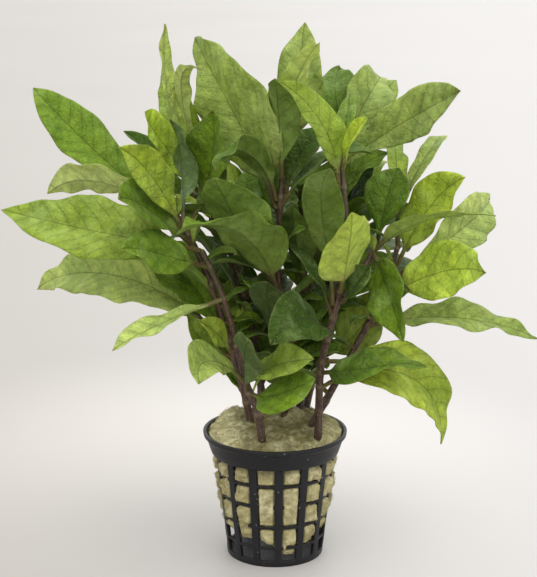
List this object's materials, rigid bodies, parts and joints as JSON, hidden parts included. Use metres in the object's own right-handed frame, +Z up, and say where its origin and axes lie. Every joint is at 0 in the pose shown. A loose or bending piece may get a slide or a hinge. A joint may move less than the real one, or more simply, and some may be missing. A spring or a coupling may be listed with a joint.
{
  "type": "potted hygrophila",
  "caption": "Bushy aquarium plant with broad green leaves on dark stems, rooted in rockwool in a black net pot that stands on its flat base.",
  "frame": {"origin": "centre of the pot's underside, where it rests", "axes": "+Z up along the pot's axis, the plant's front faces -Y, +X to its right"},
  "size_m": [0.2001, 0.1187, 0.2006],
  "materials": {
    "pot": "satin moulded plastic",
    "rockwool": "matted mineral fibre",
    "stem": "smooth dark skin with paler joints",
    "leaf": "satin leaf skin"
  },
  "bodies": {
    "root": {"leaf_back_1": "leaf", "leaf_back_2": "leaf", "leaf_back_3": "leaf", "leaf_back_4": "leaf", "leaf_back_5": "leaf", "leaf_back_left_11": "leaf", "leaf_back_left_3": "leaf", "leaf_back_left_4": "leaf", "leaf_back_left_5": "leaf", "leaf_back_left_7": "leaf", "leaf_back_left_8": "leaf", "leaf_back_left_9": "leaf", "leaf_back_right_1": "leaf", "leaf_back_right_2": "leaf", "leaf_back_right_3": "leaf", "leaf_back_right_5": "leaf", "leaf_back_right_6": "leaf", "leaf_back_right_7": "leaf", "leaf_back_right_8": "leaf", "leaf_centre_2": "leaf", "leaf_centre_3": "leaf", "leaf_centre_4": "leaf", "leaf_centre_5": "leaf", "leaf_centre_6": "leaf", "leaf_centre_7": "leaf", "leaf_centre_8": "leaf", "leaf_centre_back_2": "leaf", "leaf_centre_back_3": "leaf", "leaf_front_left_6": "leaf", "leaf_front_left_7": "leaf", "leaf_front_right_1": "leaf", "leaf_front_right_4": "leaf", "leaf_front_right_6": "leaf", "leaf_front_right_7": "leaf", "leaf_front_right_8": "leaf", "leaf_front_right_9": "leaf", "leaf_left_10": "leaf", "leaf_left_3": "leaf", "leaf_left_4": "leaf", "leaf_left_6": "leaf", "leaf_left_7": "leaf", "leaf_left_8": "leaf", "leaf_right_1": "leaf", "leaf_right_2": "leaf", "leaf_right_3": "leaf", "leaf_right_4": "leaf", "leaf_right_5": "leaf", "leaf_right_7": "leaf", "pot": "pot", "rockwool": "rockwool", "stem_back": "stem", "stem_back_left": "stem", "stem_back_right": "stem", "stem_branch_right": "stem", "stem_centre": "stem", "stem_centre_back": "stem", "stem_front_left": "stem", "stem_front_right": "stem", "stem_left": "stem", "stem_right": "stem"}
  },
  "joints": []
}
